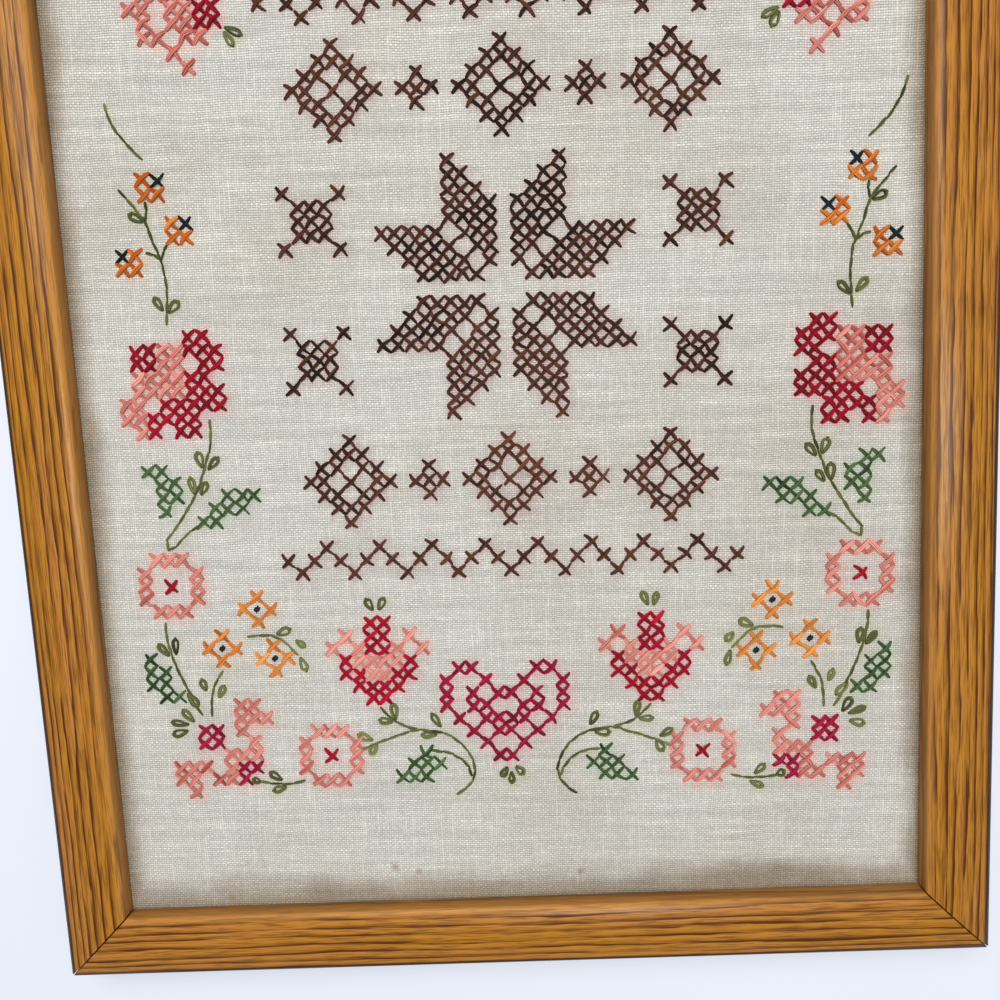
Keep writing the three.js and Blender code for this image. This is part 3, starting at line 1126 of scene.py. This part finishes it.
@dataclass
class Embroidery:
    """All the stitches: the brown panel, the flowers of the border, their stems and leaves."""

    sheet: LinenSheet
    seed: int = 1871
    # The eye of a star flower: where its three black stitches lie, and half of the middle one, mm
    eye_shifts: tuple = (-0.45, 0.0, 0.45)
    eye_reach: tuple = (0.25, 1.0)

    def work_chart(self, skeins: dict, motif: Motif, flip: float) -> None:
        """Work a charted motif.

        Args:
            skeins: the skeins by colour.
            motif: the motif.
            flip: 1 on the left half of the design, -1 on the right.
        """
        rows, columns = len(motif.chart), max(map(len, motif.chart))
        for row, line in enumerate(motif.chart):
            for column, letter in enumerate(line):
                if letter in LETTERS:
                    x = motif.x + (column - (columns - 1) / 2) * CROSS_PITCH
                    y = motif.y + ((rows - 1) / 2 - row) * CROSS_PITCH
                    skeins[LETTERS[letter]].cross(flip * x, y)
        if motif.chart is STAR_FLOWER:
            for shift in self.eye_shifts:
                middle = np.array([flip * motif.x + shift, motif.y])
                reach = np.array([self.eye_reach[0], self.eye_reach[1] - abs(shift)])
                skeins[Floss.BLACK].straight(middle - reach, middle + reach, 0.7)

    def build(self) -> tuple[list, np.ndarray]:
        """Work every stitch.

        Returns:
            The pieces, one for each skein, and the marks that tint the linen.
        """
        random = np.random.default_rng(self.seed)
        skeins = {floss: ThreadMesh(floss, self.sheet, random) for floss in Floss}
        panel = GeometricPanel()
        for column, row in panel.cells():
            skeins[Floss.BROWN].cross(column * CROSS_PITCH, panel.middle_y + row * CROSS_PITCH)
        for motif in BORDER:
            for flip in (1, -1) if motif.mirrored else (1,):
                self.work_chart(skeins, motif, flip)
        for flip in (1, -1):
            for stem in STEMS:
                skeins[Floss.OLIVE].stem(stem, flip)
            for leaf in LEAVES:
                skeins[Floss.OLIVE].leaf(leaf, flip)
        for leaf in HEART_LEAVES:
            skeins[Floss.OLIVE].leaf(leaf, 1)
        pieces = [skein.build("floss_" + floss.name.lower()) for floss, skein in skeins.items()]
        return pieces, np.vstack([skein.tint() for skein in skeins.values()])


@dataclass
class Studio:
    """The pale table top, the soft lights and the camera."""

    camera_place: tuple = (4.88, -15.8, 204.88)
    right: tuple = (0.99857, -0.0492968, -0.020689)
    down: tuple = (-0.046836, -0.993252, 0.1060987)
    focal_share: float = 0.751
    sensor_mm: float = 36.0
    clip_mm: float = 5.0
    table_size: float = 6.0
    sky: str = "#eef2f8"
    sky_strength: float = 0.3
    # Name, place and side in metres, watts and colour
    lights: tuple = (("window_light", (-0.2, 0.6, 1.0), 0.7, 8.0, "#fdfdfb"),
                     ("ceiling_light", (0.35, -0.2, 1.9), 0.7, 19.5, "#fdfcfa"))

    def table(self) -> None:
        """Lay the table top under the frame."""
        bpy.ops.mesh.primitive_plane_add(size=self.table_size)
        top = start_piece("table_top")
        top.data.materials.append(WhiteTable().build())

    def light(self, name: str, place: tuple, size: float, watts: float, colour: str) -> None:
        """Hang one square soft light that faces the sampler.

        Args:
            name: its name.
            place: its place, m.
            size: its side, m.
            watts: its power.
            colour: its colour.
        """
        lamp = bpy.data.lights.new(name, "AREA")
        lamp.shape, lamp.size, lamp.energy = "SQUARE", size, watts
        lamp.color = linear(colour)[:3]
        holder = bpy.data.objects.new(name, lamp)
        holder.location = place
        holder.rotation_euler = (-Vector(place)).to_track_quat("-Z", "Y").to_euler()
        bpy.context.scene.collection.objects.link(holder)

    def camera(self) -> None:
        """Set the camera where the picture was taken from, close over the sampler's lower half."""
        lens = bpy.data.cameras.new("camera")
        lens.sensor_width = self.sensor_mm
        lens.lens = self.focal_share * self.sensor_mm
        lens.clip_start = self.clip_mm * MM
        holder = bpy.data.objects.new("camera", lens)
        right, down = Vector(self.right).normalized(), Vector(self.down).normalized()
        ahead = right.cross(down)
        axes = Matrix((right, -down, -ahead)).transposed().to_4x4()
        holder.matrix_world = Matrix.Translation(Vector(self.camera_place) * MM) @ axes
        bpy.context.scene.collection.objects.link(holder)
        bpy.context.scene.camera = holder

    def build(self) -> None:
        """Set up the table, lights, sky and camera."""
        self.table()
        for light in self.lights:
            self.light(*light)
        world = bpy.data.worlds.new("soft_room")
        world.use_nodes = True
        background = world.node_tree.nodes["Background"].inputs
        background["Color"].default_value = linear(self.sky)
        background["Strength"].default_value = self.sky_strength
        bpy.context.scene.world = world
        bpy.context.scene.view_settings.view_transform = "Standard"
        self.camera()


def main() -> None:
    """Build the sampler and its studio."""
    logging.basicConfig(level=logging.INFO, format="%(name)s %(message)s")
    Studio().build()
    OakFrame().build()
    board = BackingBoard().build()
    sheet = LinenSheet()
    stitches, marks = Embroidery(sheet).build()
    sheet.build(marks, board, stitches)


if __name__ == "__main__":
    main()
